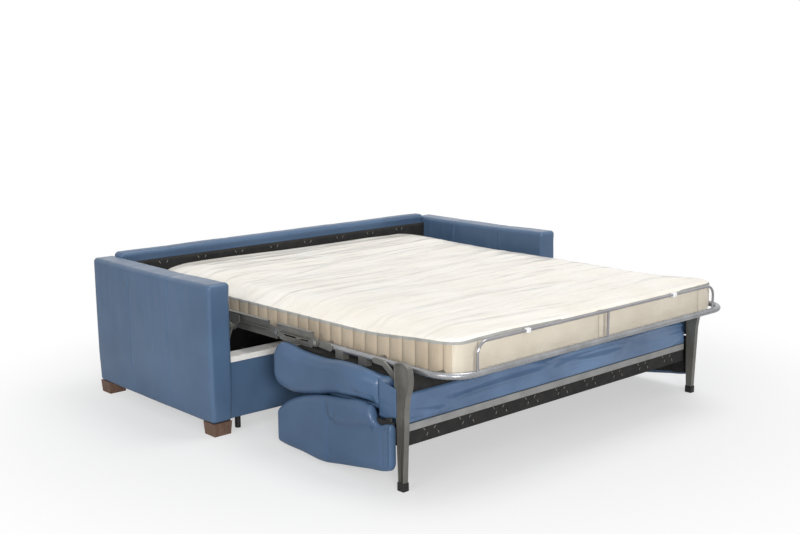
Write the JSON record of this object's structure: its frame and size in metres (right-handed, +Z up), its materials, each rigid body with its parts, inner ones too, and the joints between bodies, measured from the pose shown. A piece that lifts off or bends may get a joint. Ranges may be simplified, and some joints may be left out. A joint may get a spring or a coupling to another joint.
{
  "type": "sleeper sofa",
  "caption": "Leather sleeper sofa with square padded arms and wooden feet, drawn with its steel-framed bed and mattress folded out over the upturned seat and back.",
  "frame": {"origin": "on the floor, under the middle of the footprint with the bed open", "axes": "+X across the sofa to the right as seen from the bed's foot, +Y from the bed's foot to the sofa's back, +Z up"},
  "size_m": [2.09, 2.081, 0.635],
  "materials": {
    "leather": "satin",
    "cushion_leather": "satin",
    "lining": "matte",
    "felt": "matte",
    "foot_wood": "satin",
    "black_plastic": "satin",
    "rubber_tip": "matte",
    "grey_steel": "satin",
    "light_grey_bar": "satin",
    "silver_tube": "satin",
    "bright_rod": "polished",
    "zinc_pins": "satin",
    "mesh_wire": "satin",
    "mattress_cloth": "matte",
    "foam_pad": "matte"
  },
  "bodies": {
    "root": {"sofa_arm_left": "leather", "sofa_arm_right": "leather", "back_shell": "leather", "back_lining": "lining", "front_rail": "leather", "front_felt": "felt", "wood_foot_front_left": "foot_wood", "wood_foot_front_right": "foot_wood", "wood_foot_rear_left": "foot_wood", "wood_foot_rear_right": "foot_wood", "support_feet": "black_plastic", "side_plate_left": "grey_steel", "side_plate_right": "grey_steel", "base_pivot_posts": "zinc_pins", "rear_cross_tube": "grey_steel"},
    "front_arms": {"swing_arm_front_left": "grey_steel", "swing_arm_front_right": "grey_steel"},
    "rear_arms": {"swing_arm_rear_left": "grey_steel", "swing_arm_rear_right": "grey_steel"},
    "middle": {"middle_rail_left": "grey_steel", "middle_rail_right": "grey_steel", "middle_cross_tubes": "grey_steel", "middle_mesh": "mesh_wire", "arm_top_pins": "zinc_pins", "head_guides": "grey_steel", "fold_pins": "zinc_pins", "mattress_middle": "mattress_cloth", "mattress_head": "mattress_cloth"},
    "head": {"head_side_tubes": "grey_steel", "head_cross_tubes": "grey_steel", "head_mesh": "mesh_wire", "head_pad": "foam_pad"},
    "fold_link": {"fold_link_left": "grey_steel", "fold_link_right": "grey_steel", "link_cross_tube": "grey_steel", "mattress_fold": "mattress_cloth"},
    "foot": {"foot_tube": "silver_tube", "foot_lugs": "grey_steel", "foot_pins": "zinc_pins", "foot_cross_tubes": "grey_steel", "foot_mesh": "mesh_wire", "guard_rail": "bright_rod", "leg_left": "grey_steel", "leg_right": "grey_steel", "leg_tips": "rubber_tip", "leg_brace_left": "grey_steel", "leg_brace_right": "grey_steel", "seat_brackets": "grey_steel", "back_hinge_pins": "zinc_pins", "mattress_foot": "mattress_cloth", "seat_cushion": "cushion_leather", "seat_board": "lining"},
    "backrest": {"back_cushion": "cushion_leather", "back_frame": "lining", "back_cheek_left": "cushion_leather", "back_cheek_right": "cushion_leather", "back_hinge_arm_left": "grey_steel", "back_hinge_arm_right": "grey_steel", "back_end_bar": "light_grey_bar", "end_gusset": "cushion_leather"}
  },
  "joints": [
    {"name": "bed_fold", "type": "hinge", "parent": "root", "child": "front_arms", "pos_m": [0, 0.31019, 0.20496], "axis": [-1, 0, 0], "range_deg": [0, 148.76]},
    {"name": "rear_arm_swing", "type": "hinge", "parent": "root", "child": "rear_arms", "pos_m": [0, 0.64019, 0.20496], "axis": [-1, 0, 0], "range_deg": [0, 148.96]},
    {"name": "middle_level", "type": "hinge", "parent": "front_arms", "child": "middle", "pos_m": [0, 0.2005, 0.42], "axis": [1, 0, 0], "range_deg": [0, 148.96]},
    {"name": "head_slide", "type": "slide", "parent": "middle", "child": "head", "axis": [0, -1, 0], "range_m": [0, 0.431], "deforming": ["mattress_head", "head_pad"]},
    {"name": "link_turn", "type": "hinge", "parent": "middle", "child": "fold_link", "pos_m": [0, -0.0745, 0.437], "axis": [-1, 0, 0], "range_deg": [0, 90.2], "deforming": ["mattress_fold"]},
    {"name": "foot_turn", "type": "hinge", "parent": "fold_link", "child": "foot", "pos_m": [0, -0.3195, 0.437], "axis": [-1, 0, 0], "range_deg": [0, 90.2]},
    {"name": "back_turn", "type": "hinge", "parent": "foot", "child": "backrest", "pos_m": [0, -0.7385, 0.336], "axis": [-1, 0, 0], "range_deg": [0, 90.2], "deforming": ["end_gusset"]}
  ],
  "couplings": [
    {"joint": "rear_arm_swing", "follows": "bed_fold", "ratio": 1},
    {"joint": "middle_level", "follows": "bed_fold", "ratio": 1},
    {"joint": "head_slide", "follows": "bed_fold", "m_per_rad": 0.16562},
    {"joint": "link_turn", "follows": "bed_fold", "ratio": 0.60501},
    {"joint": "foot_turn", "follows": "bed_fold", "ratio": 0.60501},
    {"joint": "back_turn", "follows": "bed_fold", "ratio": 0.60501}
  ]
}
